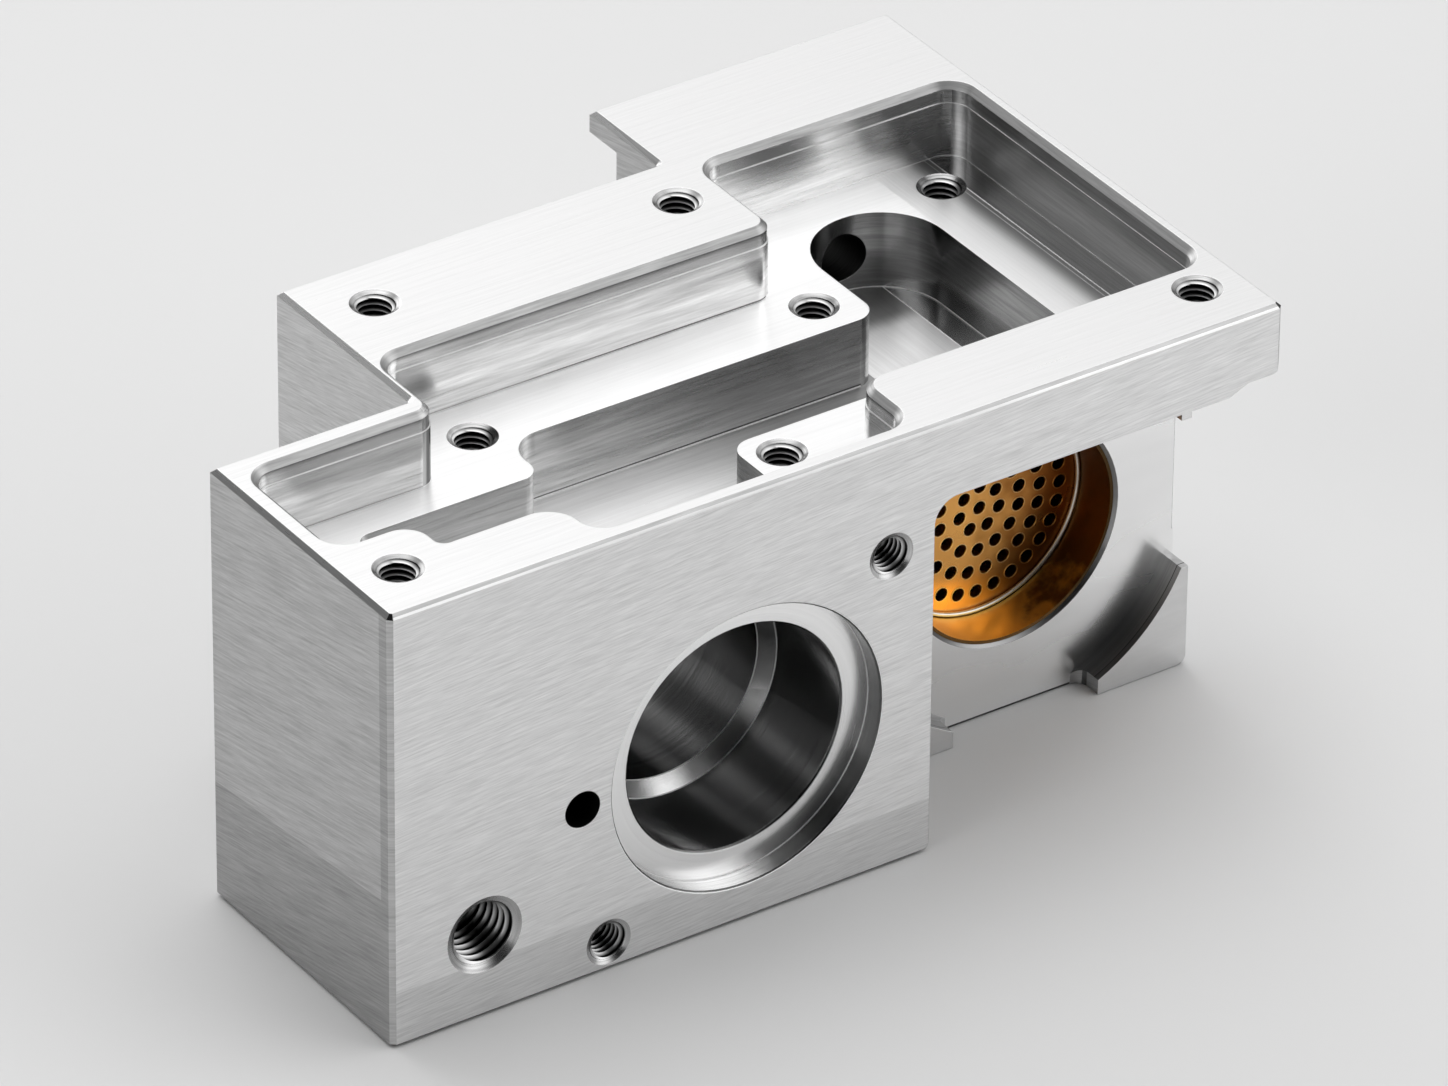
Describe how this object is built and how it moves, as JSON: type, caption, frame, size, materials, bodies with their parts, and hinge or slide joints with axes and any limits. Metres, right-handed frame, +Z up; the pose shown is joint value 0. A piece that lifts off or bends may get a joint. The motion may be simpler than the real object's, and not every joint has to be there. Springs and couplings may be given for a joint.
{
  "type": "machined aluminium housing",
  "caption": "Machined aluminium housing with a stepped pocket on top, a counterbored main bore in front, and a bronze-lined rear bore closed by a perforated disc.",
  "frame": {"origin": "the middle of the block's footprint, on its underside", "axes": "+X along the front face towards the flange, +Y from the front face to the back, +Z up out of the open pocket"},
  "size_m": [0.15, 0.0986, 0.071],
  "materials": {
    "machined_aluminium": "brushed and milled, with turned bores",
    "bronze": "polished, smoke-darkened on the right",
    "steel_wire": "bright drawn wire"
  },
  "bodies": {
    "root": {"housing": "machined_aluminium", "bronze_sleeve": "bronze", "perforated_disc": "bronze", "wire_ring": "steel_wire"}
  },
  "joints": []
}
